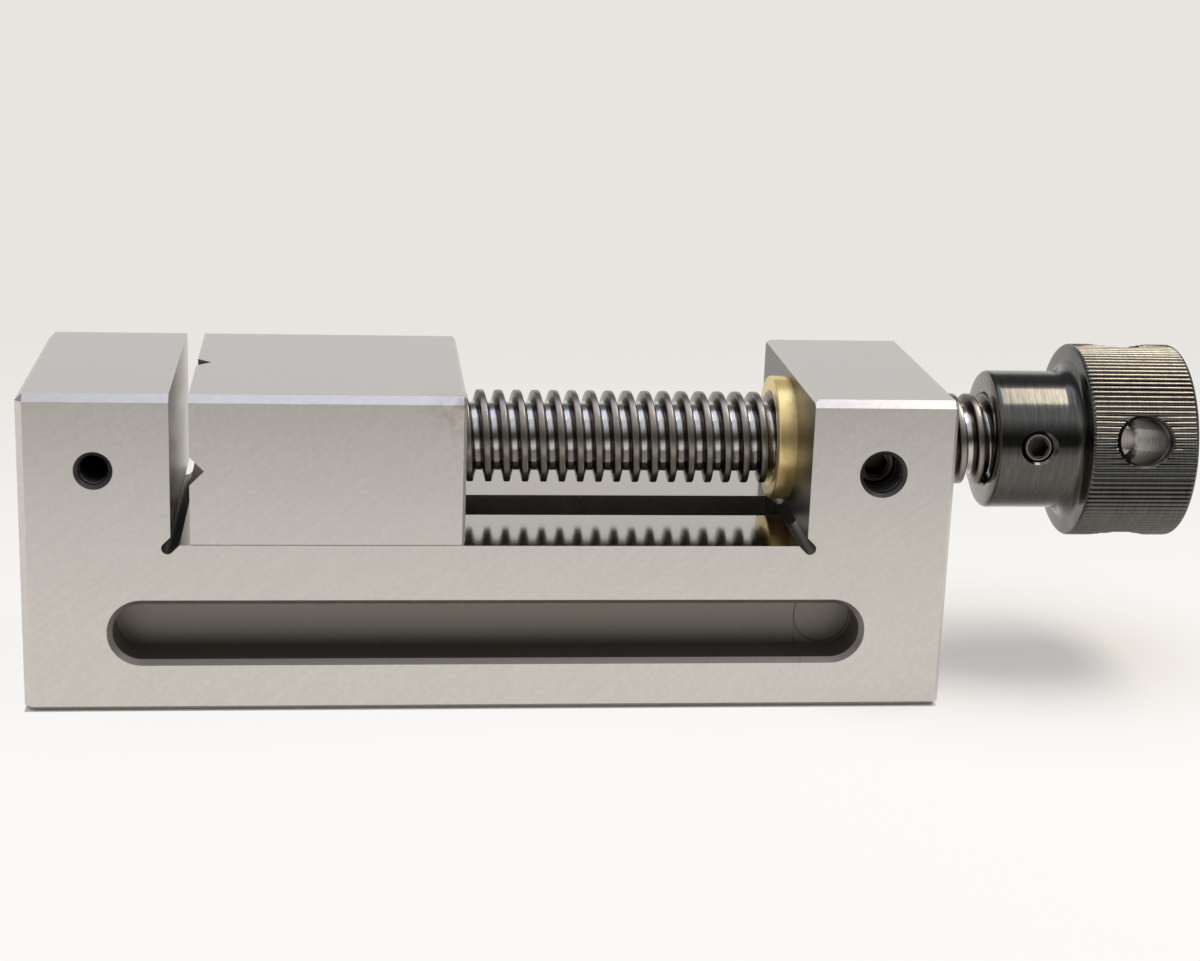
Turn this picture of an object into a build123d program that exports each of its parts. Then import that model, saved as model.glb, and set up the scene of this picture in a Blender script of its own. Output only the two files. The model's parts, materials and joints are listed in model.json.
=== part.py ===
from build123d import *
from math import radians, tan
import os

os.makedirs("parts", exist_ok=True)

# Toolmaker's vise in millimetres. X runs from the fixed jaw to the hand knob, Y is
# across the jaws and Z is up. The origin is on the ground underside, on the centre
# plane, straight below the clamping face of the fixed jaw.

# Vise body
jaw_width = 76.2
fixed_jaw_length = 38.5
bed_length = 167.1
block_length = 38.7
bed_height = 45.7
jaw_height = 39.8
edge_chamfer = 1.9
foot_chamfer = 1.4
small_chamfer = 1.0
relief_width = 3.2
relief_depth = 0.8
relief_reach = 6.0

# Clamping slot along each side of the body
side_slot_length = 198.2
side_slot_height = 15.3
side_slot_depth = 12.2
side_slot_centre_height = 21.7
side_slot_chamfer = 1.4

# Threaded holes in the near side, drilled at thread minor size
stop_hole_radius = 3.97
stop_hole_depth = 24.0
stop_hole_chamfer = 1.05
lock_hole_radius = 5.45
lock_hole_chamfer = 1.0
drill_point_angle = 118.0

# Guide slot in the bed and keeper channel under it
guide_slot_width = 19.5
channel_width = 36.0
channel_end_wall = 34.0
channel_corner = 6.0
ledge_thickness = 12.7

# Moving jaw, drawn at the opening it has at rest
moving_jaw_length = 71.0
rest_opening = 5.0
vee_width = 7.6
rear_chamfer = 0.8

# Lead screw
screw_axis_drop = 19.9
thread_radius = 12.7
thread_pitch = 5.08
thread_depth = 3.25
thread_crest = 1.7
thread_flank_angle = 14.5
thread_start_bevel = 1.0
nose_radius = 8.0
nose_depth = 26.0
nose_chamfer = 0.8
neck_radius = 5.2
neck_start = 12.2
shoulder_gap = 0.6
shank_grip = 28.5
shank_flat_depth = 1.0
shank_flat_length = 12.0

# Thrust pad, ball and nose pins
pad_thickness = 2.5
ball_radius = 3.175
ball_seat_depth = 2.4
nose_pin_radius = 1.985
nose_pin_grip = 1.1
pin_chamfer = 0.4

# Lead nut and its lock screw
flange_radius = 17.15
flange_thickness = 5.0
flange_bevel = 1.1
nut_body_radius = 15.875
nut_end_gap = 1.2
nut_edge_chamfer = 0.6
lock_screw_recess = 11.3
lock_screw_hex = 6.35
lock_screw_hex_depth = 5.0

# Guide tongue and its dowels
tongue_start = 13.5
tongue_seat_depth = 5.0
tongue_reach = 11.0
tongue_corner = 2.0
tongue_past_pins = 4.9
dowel_radius = 2.5
dowel_seat = 5.0
dowel_past_screw = 13.5

# Keeper plate
keeper_start = 13.0
keeper_length = 48.0
keeper_thickness = 15.0
keeper_web = 4.5
keeper_chamfer = 1.0
keeper_corner = 3.0
keeper_screw_inset = 20.5
keeper_screw_spacing = 18.0

# Keeper screws and their spring washers
cap_screw_radius = 3.97
cap_head_radius = 5.95
cap_head_height = 7.94
cap_screw_hex = 6.35
cap_hex_depth = 4.0
cap_head_chamfer = 0.5
cap_screw_engagement = 12.0
washer_thickness = 0.6
washer_cone = 0.35
washer_inset = 0.15

# Hand knob
hub_radius = 19.25
hub_length = 23.8
hub_chamfer = 1.2
hub_gap = 17.3
head_radius = 27.0
head_length = 30.1
head_fillet = 3.8
head_edge = 1.0
head_end_edge = 1.4
bore_chamfer = 0.8
bar_hole_radius = 6.5
bar_hole_chamfer = 1.9
bar_hole_from_head = 14.8
bar_hole_angle = 13.5

# Knob set screw
set_screw_radius = 4.1
set_screw_chamfer = 1.2
set_screw_from_hub = 11.3
set_screw_angle = 7.0
set_screw_hex = 4.76
set_screw_hex_depth = 4.0
set_screw_sink = 1.6
set_screw_edge = 0.5
set_screw_point = 1.2

# Clearances
slide_gap = 0.02
turning_gap = 0.05
pin_gap = 0.02
thread_gap = 0.03
nut_fit_gap = 0.02
screw_in_nut_gap = 0.08
screw_hole_gap = 0.25
washer_gap = 0.18
counterbore_gap = 0.4
tap_runout = 1.0
neck_side_gap = 0.3
keeper_side_gap = 0.5
slot_end_gap = 0.75
channel_end_gap = 1.0

# Places of the body, the moving jaw and the screw
total_height = bed_height + jaw_height
half_width = jaw_width / 2
body_left = -fixed_jaw_length
block_face = bed_length
body_right = bed_length + block_length
body_middle = (body_left + body_right) / 2
axis_height = total_height - screw_axis_drop
ledge_height = bed_height - ledge_thickness
jaw_face = rest_opening
jaw_rear = jaw_face + moving_jaw_length
jaw_foot = bed_height + slide_gap
seat_height = jaw_foot + tongue_seat_depth
screw_axis = Axis((0, 0, axis_height), (1, 0, 0))
turning_plane = Plane(origin=(0, 0, axis_height), x_dir=(1, 0, 0), z_dir=(0, -1, 0))

# Places of the captive nose: pins beside the neck, pad and ball in front of it
neck_width = 2 * (nose_pin_radius + neck_side_gap)
neck_left = jaw_rear - neck_start
neck_right = neck_left + neck_width
nose_pin_x = neck_left + neck_width / 2
nose_pin_y = neck_radius + nose_pin_radius + turning_gap
nose_pin_length = axis_height + nose_radius + nose_pin_grip - seat_height
nose_bottom = jaw_rear - nose_depth
ball_centre = nose_bottom + pad_thickness + ball_radius + slide_gap

# Places of the tongue, the keeper and what fastens them to the jaw
screw_front_x = jaw_face + keeper_screw_inset
screw_rear_x = screw_front_x + keeper_screw_spacing
dowel_front_x = (screw_front_x + screw_rear_x) / 2
dowel_rear_x = screw_rear_x + dowel_past_screw
tongue_left = jaw_face + tongue_start
tongue_length = nose_pin_x + tongue_past_pins - tongue_left
tongue_middle = tongue_left + tongue_length / 2
tongue_width = guide_slot_width - 2 * slide_gap
tongue_foot = bed_height - tongue_reach
keeper_middle = jaw_face + keeper_start + keeper_length / 2
keeper_width = channel_width - 2 * keeper_side_gap
keeper_top = ledge_height - slide_gap
keeper_foot = keeper_top - keeper_thickness
washer_seat = keeper_top - keeper_web
head_bearing = washer_seat - 2 * (washer_thickness + washer_cone)

# Places of the knob
hub_face = body_right + hub_gap
head_face = hub_face + hub_length
knob_end = head_face + head_length
shank_end = hub_face + shank_grip
bar_hole_centre = head_face + bar_hole_from_head
set_screw_centre = hub_face + set_screw_from_hub
flat_distance = thread_radius - shank_flat_depth


def cross_plane(x, angle, distance):
    """Plane facing outwards from the screw axis, at an angle above the near side."""
    outward = Vector(0, -1, 0).rotate(Axis.X, -angle)
    return Plane(
        origin=Vector(x, 0, axis_height) + outward * distance, x_dir=(1, 0, 0), z_dir=outward
    )


# Vise body: bed, fixed jaw and screw block ground from one block
with BuildPart() as vise_body:
    with BuildSketch(Plane.XZ):
        with BuildLine():
            Polyline(
                (body_left, 0),
                (body_right, 0),
                (body_right, total_height),
                (block_face, total_height),
                (block_face, bed_height),
                (0, bed_height),
                (0, total_height),
                (body_left, total_height),
                close=True,
            )
        make_face()
    extrude(amount=half_width, both=True)

    top_edges = vise_body.edges().filter_by_position(Axis.Z, total_height, total_height)
    left_end_edges = vise_body.faces().sort_by(Axis.X)[0].edges().sort_by(Axis.Z)[1:]
    chamfer(top_edges.filter_by(Axis.X) + left_end_edges, length=edge_chamfer)

    right_end_edges = vise_body.faces().sort_by(Axis.X)[-1].edges().sort_by(Axis.Z)[1:]
    block_inner_edge = vise_body.edges().filter_by(Axis.Y).filter_by_position(
        Axis.Z, total_height, total_height
    ).filter_by_position(Axis.X, block_face, block_face)
    chamfer(right_end_edges + block_inner_edge, length=small_chamfer)
    chamfer(vise_body.faces().sort_by(Axis.Z)[0].edges(), length=foot_chamfer)

    # Corner reliefs between the bed and the two upright faces
    with BuildSketch(Plane.XZ):
        for corner_x, lean in ((0, 45), (block_face, 135)):
            along = Vector(1, 0).rotate(Axis.Z, lean)
            middle = Vector(corner_x, bed_height) + along * (relief_reach / 2 - relief_depth * 2**0.5)
            with Locations((middle.X, middle.Y)):
                SlotCenterToCenter(relief_reach, relief_width, rotation=lean)
    extrude(amount=half_width, both=True, mode=Mode.SUBTRACT)

    # Guide slot for the tongue, with its far end under the screw block
    guide_slot_start = tongue_start - slot_end_gap - guide_slot_width / 2
    guide_slot_end = block_face + guide_slot_width / 2
    with BuildSketch(Plane.XY.offset(bed_height)):
        with Locations(((guide_slot_start + guide_slot_end) / 2, 0)):
            SlotOverall(guide_slot_end - guide_slot_start, guide_slot_width)
    extrude(amount=-ledge_thickness, mode=Mode.SUBTRACT)

    # Keeper channel, open underneath
    channel_start = keeper_start - channel_end_gap - channel_corner
    channel_end = body_right - channel_end_wall
    with BuildSketch(Plane.XY):
        with Locations(((channel_start + channel_end) / 2, 0)):
            RectangleRounded(channel_end - channel_start, channel_width, channel_corner)
    extrude(amount=ledge_height, mode=Mode.SUBTRACT)

    # Clamping slots, one along each side
    for outward in (-1, 1):
        slot_mouth = Plane(
            origin=(body_middle, outward * half_width, side_slot_centre_height),
            x_dir=(1, 0, 0),
            z_dir=(0, outward, 0),
        )
        with BuildSketch(slot_mouth):
            SlotOverall(side_slot_length, side_slot_height)
        extrude(amount=-side_slot_depth, mode=Mode.SUBTRACT)
        mouth_face = vise_body.faces().filter_by(Axis.Y).sort_by(Axis.Y)[0 if outward < 0 else -1]
        chamfer(mouth_face.inner_wires()[0].edges(), length=side_slot_chamfer)

    # Bore for the lead nut
    with Locations(Plane(origin=(block_face, 0, axis_height), z_dir=(-1, 0, 0))):
        Hole(nut_body_radius + nut_fit_gap, depth=block_length)

    # Stop hole in the fixed jaw, with its drill point, and lock screw hole in the block
    stop_hole_place = Plane(
        origin=(body_left + fixed_jaw_length / 2, -half_width, axis_height), z_dir=(0, -1, 0)
    )
    with Locations(stop_hole_place):
        CounterSinkHole(
            stop_hole_radius,
            stop_hole_radius + stop_hole_chamfer,
            depth=stop_hole_depth,
            counter_sink_angle=90,
        )
    with Locations(stop_hole_place.offset(-stop_hole_depth)):
        Cone(
            bottom_radius=0,
            top_radius=stop_hole_radius,
            height=stop_hole_radius / tan(radians(drill_point_angle / 2)),
            align=(Align.CENTER, Align.CENTER, Align.MAX),
            mode=Mode.SUBTRACT,
        )
    lock_hole_centre = block_face + block_length / 2
    with Locations(Plane(origin=(lock_hole_centre, -half_width, axis_height), z_dir=(0, -1, 0))):
        CounterSinkHole(
            lock_hole_radius,
            lock_hole_radius + lock_hole_chamfer,
            depth=half_width,
            counter_sink_angle=90,
        )
vise_body.part.label = "vise_body"
export_step(vise_body.part, "parts/vise_body.step")

# Moving jaw, riding on the bed
with BuildPart() as moving_jaw:
    with BuildSketch(Plane.XY.offset(jaw_foot)):
        with Locations(((jaw_face + jaw_rear) / 2, 0)):
            Rectangle(moving_jaw_length, jaw_width)
    extrude(amount=total_height - jaw_foot)
    chamfer(moving_jaw.faces().sort_by(Axis.Z)[-1].edges().filter_by(Axis.X), length=edge_chamfer)
    chamfer(moving_jaw.faces().sort_by(Axis.X)[-1].edges(), length=rear_chamfer)

    # Crossed vee grooves that hold round work
    vee_side = vee_width / 2**0.5
    with BuildSketch(Plane.XZ):
        with Locations((jaw_face, axis_height)):
            Rectangle(vee_side, vee_side, rotation=45)
    extrude(amount=half_width, both=True, mode=Mode.SUBTRACT)
    with BuildSketch(Plane.XY.offset(jaw_foot)):
        with Locations((jaw_face, 0)):
            Rectangle(vee_side, vee_side, rotation=45)
    extrude(amount=total_height - jaw_foot, mode=Mode.SUBTRACT)

    # Blind bore that takes the nose of the lead screw
    with Locations(Plane(origin=(jaw_rear, 0, axis_height), z_dir=(1, 0, 0))):
        CounterSinkHole(
            nose_radius + turning_gap,
            nose_radius + turning_gap + nose_chamfer,
            depth=nose_depth,
            counter_sink_angle=90,
        )

    # Seat for the guide tongue
    with BuildSketch(Plane.XY.offset(jaw_foot)):
        with Locations((tongue_middle, 0)):
            RectangleRounded(tongue_length, tongue_width, tongue_corner)
    extrude(amount=tongue_seat_depth, mode=Mode.SUBTRACT)

    # Nose pin holes, tapped holes and dowel holes, all drilled up from the seat
    with Locations(Plane(origin=(0, 0, seat_height), x_dir=(1, 0, 0), z_dir=(0, 0, -1))):
        with Locations((nose_pin_x, -nose_pin_y), (nose_pin_x, nose_pin_y)):
            Hole(nose_pin_radius + pin_gap, depth=nose_pin_length)
        with Locations((screw_front_x, 0), (screw_rear_x, 0)):
            Hole(cap_screw_radius + thread_gap, depth=cap_screw_engagement + tap_runout)
        with Locations((dowel_front_x, 0), (dowel_rear_x, 0)):
            Hole(dowel_radius + pin_gap, depth=dowel_seat)
moving_jaw.part.label = "moving_jaw"
export_step(moving_jaw.part, "parts/moving_jaw.step")

# Guide tongue, seated in the jaw and running in the guide slot of the bed
with BuildPart() as guide_tongue:
    with BuildSketch(Plane.XY.offset(tongue_foot)):
        with Locations((tongue_middle, 0)):
            RectangleRounded(tongue_length, tongue_width, tongue_corner)
    extrude(amount=seat_height - tongue_foot)
    with Locations(Plane.XY.offset(seat_height)):
        with Locations((screw_front_x, 0), (screw_rear_x, 0)):
            Hole(cap_screw_radius + screw_hole_gap, depth=seat_height - tongue_foot)
        with Locations((dowel_front_x, 0), (dowel_rear_x, 0)):
            Hole(dowel_radius + pin_gap, depth=seat_height - tongue_foot)
guide_tongue.part.label = "guide_tongue"
export_step(guide_tongue.part, "parts/guide_tongue.step")

# Dowels that hold the tongue square in the jaw
for name, dowel_x in (("tongue_dowel_front", dowel_front_x), ("tongue_dowel_rear", dowel_rear_x)):
    with BuildPart() as tongue_dowel:
        with BuildSketch(Plane.XY.offset(tongue_foot)):
            with Locations((dowel_x, 0)):
                Circle(dowel_radius)
        extrude(amount=seat_height + dowel_seat - tongue_foot)
        chamfer(tongue_dowel.edges().filter_by(GeomType.CIRCLE), length=pin_chamfer)
    tongue_dowel.part.label = name
    export_step(tongue_dowel.part, f"parts/{name}.step")

# Keeper plate, drawn up against the ledges under the bed
with BuildPart() as keeper_plate:
    with BuildSketch(Plane.XY.offset(keeper_foot)):
        with Locations((keeper_middle, 0)):
            RectangleRounded(keeper_length, keeper_width, keeper_corner)
    extrude(amount=keeper_thickness)
    chamfer(keeper_plate.faces().sort_by(Axis.Z)[0].edges(), length=keeper_chamfer)
    with Locations(Plane(origin=(0, 0, keeper_foot), x_dir=(1, 0, 0), z_dir=(0, 0, -1))):
        with Locations((screw_front_x, 0), (screw_rear_x, 0)):
            CounterBoreHole(
                cap_screw_radius + screw_hole_gap,
                cap_head_radius + counterbore_gap,
                keeper_thickness - keeper_web,
                depth=keeper_thickness,
            )
keeper_plate.part.label = "keeper_plate"
export_step(keeper_plate.part, "parts/keeper_plate.step")

# Spring washers, two above each keeper screw head, their outer edges bearing
washer_inner = cap_screw_radius + washer_gap
washer_outer = cap_head_radius - washer_inset
for end, screw_x in (("front", screw_front_x), ("rear", screw_rear_x)):
    for level, bearing, inward in (("upper", washer_seat, -1), ("lower", head_bearing, 1)):
        cup_plane = Plane(origin=(screw_x, 0, bearing), x_dir=(1, 0, 0), z_dir=(0, -1, 0))
        with BuildPart() as spring_washer:
            with BuildSketch(cup_plane):
                with BuildLine():
                    Polyline(
                        (washer_outer, 0),
                        (washer_inner, inward * washer_cone),
                        (washer_inner, inward * (washer_cone + washer_thickness)),
                        (washer_outer, inward * washer_thickness),
                        close=True,
                    )
                make_face()
            revolve(axis=Axis((screw_x, 0, 0), (0, 0, 1)))
        spring_washer.part.label = f"spring_washer_{end}_{level}"
        export_step(spring_washer.part, f"parts/spring_washer_{end}_{level}.step")

# Keeper screws, threaded into the jaw from below
for name, screw_x in (("keeper_screw_front", screw_front_x), ("keeper_screw_rear", screw_rear_x)):
    with BuildPart() as keeper_screw:
        with BuildSketch(Plane.XY.offset(head_bearing)):
            with Locations((screw_x, 0)):
                Circle(cap_head_radius)
        extrude(amount=-cap_head_height)
        chamfer(keeper_screw.edges().sort_by(Axis.Z)[0], length=cap_head_chamfer)
        with BuildSketch(Plane.XY.offset(head_bearing)):
            with Locations((screw_x, 0)):
                Circle(cap_screw_radius)
        extrude(amount=seat_height + cap_screw_engagement - head_bearing)
        chamfer(keeper_screw.edges().sort_by(Axis.Z)[-1], length=cap_head_chamfer)
        with BuildSketch(Plane.XY.offset(head_bearing - cap_head_height)):
            with Locations((screw_x, 0)):
                RegularPolygon(cap_screw_hex / 2, 6, major_radius=False)
        extrude(amount=cap_hex_depth, mode=Mode.SUBTRACT)
    keeper_screw.part.label = name
    export_step(keeper_screw.part, f"parts/{name}.step")

# Nose pins that hold the screw in the jaw by its neck
for name, side in (("nose_pin_near", -1), ("nose_pin_far", 1)):
    with BuildPart() as nose_pin:
        with BuildSketch(Plane.XY.offset(seat_height)):
            with Locations((nose_pin_x, side * nose_pin_y)):
                Circle(nose_pin_radius)
        extrude(amount=nose_pin_length)
        chamfer(nose_pin.edges().filter_by(GeomType.CIRCLE), length=pin_chamfer)
    nose_pin.part.label = name
    export_step(nose_pin.part, f"parts/{name}.step")

# Hardened thrust pad at the bottom of the jaw bore
with BuildPart() as thrust_pad:
    with BuildSketch(Plane(origin=(nose_bottom, 0, axis_height), z_dir=(1, 0, 0))):
        Circle(nose_radius)
    extrude(amount=pad_thickness)
    chamfer(thrust_pad.edges().filter_by(GeomType.CIRCLE), length=pin_chamfer)
thrust_pad.part.label = "thrust_pad"
export_step(thrust_pad.part, "parts/thrust_pad.step")

# Thrust ball between the pad and the nose of the screw
with BuildPart() as thrust_ball:
    with Locations((ball_centre, 0, axis_height)):
        Sphere(ball_radius)
thrust_ball.part.label = "thrust_ball"
export_step(thrust_ball.part, "parts/thrust_ball.step")

# Lead screw: nose with a round seat for the ball, neck, threaded length and plain shank.
# The thread is shown by one plain groove for each turn, up to the knob.
nose_end = ball_centre + ball_radius - ball_seat_depth
seat_radius = ball_radius + slide_gap
seat_mouth = (seat_radius**2 - (nose_end - ball_centre) ** 2) ** 0.5
thread_start = jaw_rear + shoulder_gap
groove_count = int((hub_face - thread_start) / thread_pitch)
grooves_middle = thread_start + (thread_crest + groove_count * thread_pitch) / 2
with BuildPart() as lead_screw:
    with BuildSketch(turning_plane):
        with BuildLine():
            RadiusArc((ball_centre + seat_radius, 0), (nose_end, seat_mouth), -seat_radius)
            Polyline(
                (nose_end, seat_mouth),
                (nose_end, nose_radius - nose_chamfer),
                (nose_end + nose_chamfer, nose_radius),
                (neck_left, nose_radius),
                (neck_left, neck_radius),
                (neck_right, neck_radius),
                (neck_right, nose_radius),
                (thread_start, nose_radius),
                (thread_start, thread_radius - thread_start_bevel),
                (thread_start + thread_start_bevel, thread_radius),
                (shank_end - nose_chamfer, thread_radius),
                (shank_end, thread_radius - nose_chamfer),
                (shank_end, 0),
                (ball_centre + seat_radius, 0),
            )
        make_face()
        with Locations((grooves_middle, thread_radius - thread_depth / 2)):
            with GridLocations(thread_pitch, 0, groove_count, 1):
                Trapezoid(
                    thread_pitch - thread_crest,
                    thread_depth,
                    90 - thread_flank_angle,
                    rotation=180,
                    mode=Mode.SUBTRACT,
                )
    revolve(axis=screw_axis)
    with BuildSketch(cross_plane(set_screw_centre, set_screw_angle, flat_distance)):
        Rectangle(shank_flat_length, 2 * thread_radius)
    extrude(amount=thread_radius, mode=Mode.SUBTRACT)
lead_screw.part.label = "lead_screw"
export_step(lead_screw.part, "parts/lead_screw.step")

# Lead nut, its flange against the inner face of the block
flange_face = block_face - flange_thickness
nut_end = body_right - nut_end_gap
nut_bore_radius = thread_radius + screw_in_nut_gap
with BuildPart() as lead_nut:
    with BuildSketch(turning_plane):
        with BuildLine():
            Polyline(
                (flange_face, nut_bore_radius + nut_edge_chamfer),
                (flange_face, flange_radius - flange_bevel),
                (flange_face + flange_bevel, flange_radius),
                (block_face, flange_radius),
                (block_face, nut_body_radius),
                (nut_end - nut_edge_chamfer, nut_body_radius),
                (nut_end, nut_body_radius - nut_edge_chamfer),
                (nut_end, nut_bore_radius + nut_edge_chamfer),
                (nut_end - nut_edge_chamfer, nut_bore_radius),
                (flange_face + nut_edge_chamfer, nut_bore_radius),
                close=True,
            )
        make_face()
    revolve(axis=screw_axis)
lead_nut.part.label = "lead_nut"
export_step(lead_nut.part, "parts/lead_nut.step")

# Nut lock screw, bearing on the nut through the side of the block
lock_screw_face = half_width - lock_screw_recess
lock_screw_plane = Plane(
    origin=(lock_hole_centre, -lock_screw_face, axis_height), x_dir=(1, 0, 0), z_dir=(0, -1, 0)
)
with BuildPart() as nut_lock_screw:
    with BuildSketch(lock_screw_plane):
        Circle(lock_hole_radius - turning_gap)
    extrude(amount=-(lock_screw_face - nut_body_radius - nut_fit_gap))
    chamfer(nut_lock_screw.edges().sort_by(Axis.Y)[0], length=set_screw_edge)
    chamfer(nut_lock_screw.edges().sort_by(Axis.Y)[-1], length=set_screw_point)
    with BuildSketch(lock_screw_plane):
        RegularPolygon(lock_screw_hex / 2, 6, major_radius=False)
    extrude(amount=-lock_screw_hex_depth, mode=Mode.SUBTRACT)
nut_lock_screw.part.label = "nut_lock_screw"
export_step(nut_lock_screw.part, "parts/nut_lock_screw.step")

# Hand knob: hub, knurled head at crest size and two crossed bar holes
with BuildPart() as hand_knob:
    with BuildSketch(turning_plane):
        with BuildLine():
            Polyline(
                (hub_face, 0),
                (hub_face, hub_radius - hub_chamfer),
                (hub_face + hub_chamfer, hub_radius),
                (head_face, hub_radius),
                (head_face, head_radius),
                (knob_end, head_radius),
                (knob_end, 0),
                close=True,
            )
        make_face()
    revolve(axis=screw_axis)
    rims = hand_knob.edges().filter_by(GeomType.CIRCLE)
    face_rims = rims.filter_by_position(Axis.X, head_face, head_face).sort_by(SortBy.RADIUS)
    end_rim = rims.filter_by_position(Axis.X, knob_end, knob_end)
    fillet(face_rims[0], radius=head_fillet)
    fillet(face_rims[-1], radius=head_edge)
    fillet(end_rim, radius=head_end_edge)

    with Locations(Plane(origin=(hub_face, 0, axis_height), z_dir=(-1, 0, 0))):
        CounterSinkHole(
            thread_radius + thread_gap,
            thread_radius + thread_gap + bore_chamfer,
            depth=shank_grip + screw_hole_gap,
            counter_sink_angle=90,
        )
    for quarter in range(4):
        with Locations(cross_plane(bar_hole_centre, bar_hole_angle + 90 * quarter, head_radius)):
            CounterSinkHole(
                bar_hole_radius,
                bar_hole_radius + bar_hole_chamfer,
                depth=head_radius + bar_hole_radius,
                counter_sink_angle=90,
            )
    with Locations(cross_plane(set_screw_centre, set_screw_angle, hub_radius)):
        CounterSinkHole(
            set_screw_radius,
            set_screw_radius + set_screw_chamfer,
            depth=hub_radius - flat_distance,
            counter_sink_angle=90,
        )
hand_knob.part.label = "hand_knob"
export_step(hand_knob.part, "parts/hand_knob.step")

# Knob set screw, bearing on the flat of the shank
set_screw_face = hub_radius - set_screw_sink
set_screw_plane = cross_plane(set_screw_centre, set_screw_angle, set_screw_face)
with BuildPart() as knob_set_screw:
    with BuildSketch(set_screw_plane):
        Circle(set_screw_radius - turning_gap)
    extrude(amount=-(set_screw_face - flat_distance - slide_gap))
    chamfer(knob_set_screw.edges().sort_by(Axis.Y)[0], length=set_screw_edge)
    chamfer(knob_set_screw.edges().sort_by(Axis.Y)[-1], length=set_screw_point)
    with BuildSketch(set_screw_plane):
        RegularPolygon(set_screw_hex / 2, 6, major_radius=False)
    extrude(amount=-set_screw_hex_depth, mode=Mode.SUBTRACT)
knob_set_screw.part.label = "knob_set_screw"
export_step(knob_set_screw.part, "parts/knob_set_screw.step")
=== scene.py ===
"""Dresses the packed toolmaker's vise: screw thread, knurl, tapped holes and shop finishes."""

import json
import math

import bmesh
import bpy
from mathutils import Matrix, Vector


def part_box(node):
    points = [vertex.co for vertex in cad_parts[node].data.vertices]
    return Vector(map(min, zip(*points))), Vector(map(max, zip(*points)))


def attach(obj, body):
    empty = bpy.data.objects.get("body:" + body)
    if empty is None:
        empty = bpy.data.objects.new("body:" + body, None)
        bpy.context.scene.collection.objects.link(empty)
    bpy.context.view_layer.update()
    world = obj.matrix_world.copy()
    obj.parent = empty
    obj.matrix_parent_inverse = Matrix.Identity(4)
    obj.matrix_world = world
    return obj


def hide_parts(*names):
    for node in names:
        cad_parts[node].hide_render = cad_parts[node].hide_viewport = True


bl_info = {
    "name": "Toolmaker's Vise",
    "version": (1, 0, 0),
    "blender": (4, 5, 0),
    "location": "3D View > Sidebar > Vise",
    "description": "Gives a packed toolmaker's vise its thread, knurl, tapped holes and finishes",
    "category": "Object",
}

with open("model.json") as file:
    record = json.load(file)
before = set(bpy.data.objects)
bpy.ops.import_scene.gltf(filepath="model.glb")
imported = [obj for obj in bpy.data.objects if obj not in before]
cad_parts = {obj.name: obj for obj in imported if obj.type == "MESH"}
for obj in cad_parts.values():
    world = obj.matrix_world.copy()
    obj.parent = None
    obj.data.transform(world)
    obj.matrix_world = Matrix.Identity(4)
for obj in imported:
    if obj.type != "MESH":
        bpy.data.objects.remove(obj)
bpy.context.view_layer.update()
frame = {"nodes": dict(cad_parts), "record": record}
BODY_LOW, BODY_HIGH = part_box("vise_body")
JAW_LOW, JAW_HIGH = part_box("moving_jaw")
SCREW_LOW, SCREW_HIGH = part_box("lead_screw")
NUT_LOW, NUT_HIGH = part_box("lead_nut")
KNOB_LOW, KNOB_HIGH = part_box("hand_knob")
LOCK_LOW, LOCK_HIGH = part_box("nut_lock_screw")

MM = 0.001
MERGE_DISTANCE = 0.004 * MM
PLANE_REACH = 0.05 * MM  # what lies nearer to a plane than this counts as on it
PAST_FACE = 1 * MM  # how far outside a face its cutters start
AROUND_X, AROUND_Y = (0, 1, 1), (1, 0, 1)
AXIS_HEIGHT = (KNOB_LOW.z + KNOB_HIGH.z) / 2
CREST_RADIUS = (SCREW_HIGH.z - SCREW_LOW.z) / 2
HEAD_RADIUS = (KNOB_HIGH.z - KNOB_LOW.z) / 2
FLANGE_RADIUS = (NUT_HIGH.z - NUT_LOW.z) / 2
FLANGE_THICKNESS = 5 * MM
BED_HEIGHT = JAW_LOW.z
BLOCK_FACE = NUT_LOW.x + FLANGE_THICKNESS
STOP_X = BODY_LOW.x + 19.25 * MM
STOP_RADIUS, STOP_MOUTH = 3.97 * MM, 5.02 * MM
LOCK_X = (LOCK_LOW.x + LOCK_HIGH.x) / 2
LOCK_RADIUS, LOCK_MOUTH = 5.45 * MM, 6.46 * MM

# Shade of the room by the angle above the front, in degrees
ROOM_FRONT, ROOM_BACK = "#454443", "#F4F4F4"
ROOM_BANDS = (
    (20, ROOM_FRONT), (31, "#8E8E90"), (50, "#F0F3FC"), (70, "#F0F3FC"), (80, "#BFC1C8"),
    (112, "#BFC1C8"), (120, "#77787C"), (150, "#77787C"), (158, ROOM_BACK),
)


def length(name, description, default):
    """A size in metres that the panel shows as a length."""
    return bpy.props.FloatProperty(
        name=name, description=description, default=default, unit="LENGTH", precision=5
    )


def angle(name, description, degrees):
    """An angle that the panel shows in degrees."""
    return bpy.props.FloatProperty(
        name=name, description=description, default=math.radians(degrees), subtype="ANGLE"
    )


def linear(hex_colour):
    """Linear colour of an sRGB hex value."""
    channels = [int(hex_colour[i:i + 2], 16) / 255 for i in (1, 3, 5)]
    return tuple(c / 12.92 if c <= 0.04045 else ((c + 0.055) / 1.055) ** 2.4 for c in channels)


def colour(name, description, hex_colour):
    """A colour that the panel shows as a swatch."""
    return bpy.props.FloatVectorProperty(
        name=name, description=description, default=linear(hex_colour), subtype="COLOR", min=0, max=1
    )


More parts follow.
